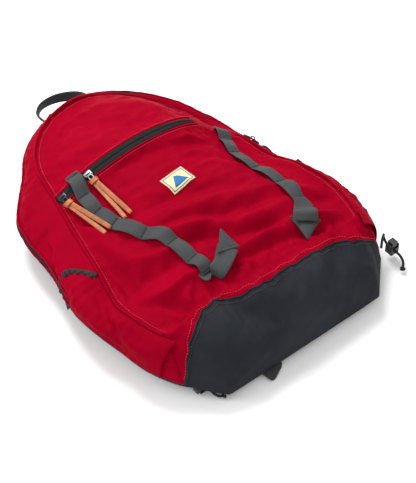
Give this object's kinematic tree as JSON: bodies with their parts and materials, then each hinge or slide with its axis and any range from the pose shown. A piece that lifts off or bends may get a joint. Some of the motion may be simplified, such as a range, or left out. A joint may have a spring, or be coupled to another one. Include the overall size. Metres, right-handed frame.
{
  "type": "daypack",
  "caption": "Round-topped hiking daypack lying on its back, with a zipped main compartment, a front pocket, side pockets, webbing chains and shoulder straps.",
  "frame": {"origin": "middle of the footprint, on the surface the pack lies on", "axes": "+Z out of the front of the pack, +Y towards its top, +X to its right side as it lies"},
  "size_m": [0.3792, 0.5121, 0.1169],
  "materials": {
    "red_nylon": "woven pack nylon with a slight sheen",
    "base_nylon": "coarse woven nylon, matt",
    "grey_webbing": "ribbed webbing",
    "black_webbing": "ribbed webbing",
    "zip_tape": "woven tape over a coil zip",
    "binding": "folded elastic tape",
    "black_plastic": "moulded, fine grain",
    "shock_cord": "braided cord",
    "leather": "full-grain strip, satin",
    "zip_metal": "die-cast, worn satin",
    "label_cloth": "woven label",
    "lining": "light plain-weave nylon",
    "back_mesh": "padded knitted mesh"
  },
  "bodies": {
    "pack": {"base_panel": "base_nylon", "front_panel_lower": "red_nylon", "side_gusset_left": "red_nylon", "side_gusset_right": "red_nylon", "back_gusset": "red_nylon", "main_zip_tape_back": "zip_tape", "back_panel": "back_mesh", "spine_pad": "back_mesh", "lumbar_pad": "back_mesh", "yoke_patch": "black_webbing", "strap_webbing_left": "grey_webbing", "strap_webbing_right": "grey_webbing", "daisy_chain_lower_left": "grey_webbing", "daisy_chain_lower_right": "grey_webbing", "axe_loop_left": "grey_webbing", "axe_loop_right": "grey_webbing", "side_pocket_left": "red_nylon", "side_pocket_right": "red_nylon", "pocket_binding_left": "binding", "pocket_binding_right": "binding", "upper_cord_left": "shock_cord", "upper_cord_right": "shock_cord", "lower_cord_left": "shock_cord", "lower_cord_right": "shock_cord"},
    "front_lid": {"front_panel_top": "red_nylon", "pocket_zip_tape_lower": "zip_tape", "pocket_zip_tape_upper": "zip_tape", "pocket_front_panel": "red_nylon", "pocket_lining": "lining", "front_gusset": "red_nylon", "main_zip_tape_front": "zip_tape", "label": "label_cloth", "daisy_chain_upper_left": "grey_webbing", "daisy_chain_upper_right": "grey_webbing"},
    "inner_slider": {"pocket_slider_inner": "zip_metal"},
    "inner_pull": {"pocket_ring_inner": "zip_metal", "pocket_pull_inner": "leather"},
    "outer_slider": {"pocket_slider_outer": "zip_metal"},
    "outer_pull": {"pocket_ring_outer": "zip_metal", "pocket_pull_outer": "leather"},
    "upper_slider": {"main_slider_upper": "zip_metal"},
    "upper_pull": {"main_ring_upper": "zip_metal", "main_pull_upper": "leather"},
    "lower_slider": {"main_slider_lower": "zip_metal"},
    "lower_pull": {"main_ring_lower": "zip_metal", "main_pull_lower": "leather"},
    "handle": {"grab_handle": "black_webbing"},
    "strap_left": {"shoulder_strap_left": "back_mesh"},
    "strap_right": {"shoulder_strap_right": "back_mesh"},
    "lock_left": {"ladder_lock_left": "black_plastic"},
    "lock_right": {"ladder_lock_right": "black_plastic"},
    "belt_left": {"belt_webbing_left": "grey_webbing", "belt_buckle_socket": "black_plastic", "belt_tail": "grey_webbing"},
    "belt_right": {"belt_webbing_right": "grey_webbing", "belt_buckle_plug": "black_plastic"},
    "toggle_left": {"cord_lock_left": "black_plastic"},
    "toggle_right": {"cord_lock_right": "black_plastic"},
    "button_left": {"cord_lock_button_left": "black_plastic"},
    "button_right": {"cord_lock_button_right": "black_plastic"}
  },
  "joints": [
    {"name": "main_opening", "type": "hinge", "parent": "pack", "child": "front_lid", "pos_m": [0, -0.048, 0.0975], "axis": [1, 0, 0], "range_deg": [0, 70]},
    {"name": "pocket_zip_inner", "type": "hinge", "parent": "front_lid", "child": "inner_slider", "pos_m": [0, 0.064, -0.1456], "axis": [0, 1, 0], "range_deg": [0, 33]},
    {"name": "inner_pull_swing", "type": "hinge", "parent": "inner_slider", "child": "inner_pull", "pos_m": [-0.07511, 0.0588, 0.0883], "axis": [-0.9561, 0, -0.293], "range_deg": [0, 140]},
    {"name": "pocket_zip_outer", "type": "slide", "parent": "front_lid", "child": "outer_slider", "axis": [0.9079, 0, 0.4192], "range_m": [-0.001, 0.002]},
    {"name": "outer_pull_swing", "type": "hinge", "parent": "outer_slider", "child": "outer_pull", "pos_m": [-0.11309, 0.0588, 0.07371], "axis": [-0.9079, 0, -0.4192], "range_deg": [0, 140]},
    {"name": "main_zip_upper", "type": "slide", "parent": "pack", "child": "upper_slider", "axis": [-0.2079, 0.9781, 0], "range_m": [0, 0.062]},
    {"name": "upper_pull_swing", "type": "hinge", "parent": "upper_slider", "child": "upper_pull", "pos_m": [0.15032, 0.02812, 0.03906], "axis": [0, 0, 1], "range_deg": [0, 120]},
    {"name": "main_zip_lower", "type": "slide", "parent": "pack", "child": "lower_slider", "axis": [0.2079, -0.9781, 0], "range_m": [0, 0.052]},
    {"name": "lower_pull_swing", "type": "hinge", "parent": "lower_slider", "child": "lower_pull", "pos_m": [0.15051, 0.02725, 0.03906], "axis": [0, 0, -1], "range_deg": [0, 120]},
    {"name": "handle_swing", "type": "hinge", "parent": "pack", "child": "handle", "pos_m": [0, 0.2084, 0.024], "axis": [1, 0, 0], "range_deg": [-10, 45]},
    {"name": "shoulder_strap_left_lift", "type": "hinge", "parent": "pack", "child": "strap_left", "pos_m": [-0.046, 0.186, 0.0114], "axis": [1, 0, 0], "range_deg": [0, 12]},
    {"name": "ladder_lock_left_tilt", "type": "hinge", "parent": "strap_left", "child": "lock_left", "pos_m": [-0.07766, -0.11797, 0.0052], "axis": [0.9852, 0.1713, 0], "range_deg": [0, 25]},
    {"name": "waist_belt_left_wrap", "type": "hinge", "parent": "pack", "child": "belt_left", "pos_m": [-0.112, -0.224, 0.004], "axis": [0, 1, 0], "range_deg": [0, 75]},
    {"name": "cord_lock_left_slide", "type": "slide", "parent": "pack", "child": "toggle_left", "axis": [0, 1, 0], "range_m": [-0.007, 0.004]},
    {"name": "cord_lock_left_press", "type": "slide", "parent": "toggle_left", "child": "button_left", "axis": [1, 0, 0], "range_m": [0, 0.0025], "stiffness_N_per_m": 400, "springref_m": -0.001},
    {"name": "shoulder_strap_right_lift", "type": "hinge", "parent": "pack", "child": "strap_right", "pos_m": [0.046, 0.186, 0.0114], "axis": [1, 0, 0], "range_deg": [0, 12]},
    {"name": "ladder_lock_right_tilt", "type": "hinge", "parent": "strap_right", "child": "lock_right", "pos_m": [0.07766, -0.11797, 0.0052], "axis": [0.9852, -0.1713, 0], "range_deg": [0, 25]},
    {"name": "waist_belt_right_wrap", "type": "hinge", "parent": "pack", "child": "belt_right", "pos_m": [0.112, -0.224, 0.004], "axis": [0, -1, 0], "range_deg": [0, 75]},
    {"name": "cord_lock_right_slide", "type": "slide", "parent": "pack", "child": "toggle_right", "axis": [0, 1, 0], "range_m": [-0.007, 0.002]},
    {"name": "cord_lock_right_press", "type": "slide", "parent": "toggle_right", "child": "button_right", "axis": [0, 0, -1], "range_m": [0, 0.0025], "stiffness_N_per_m": 400, "springref_m": -0.001}
  ]
}
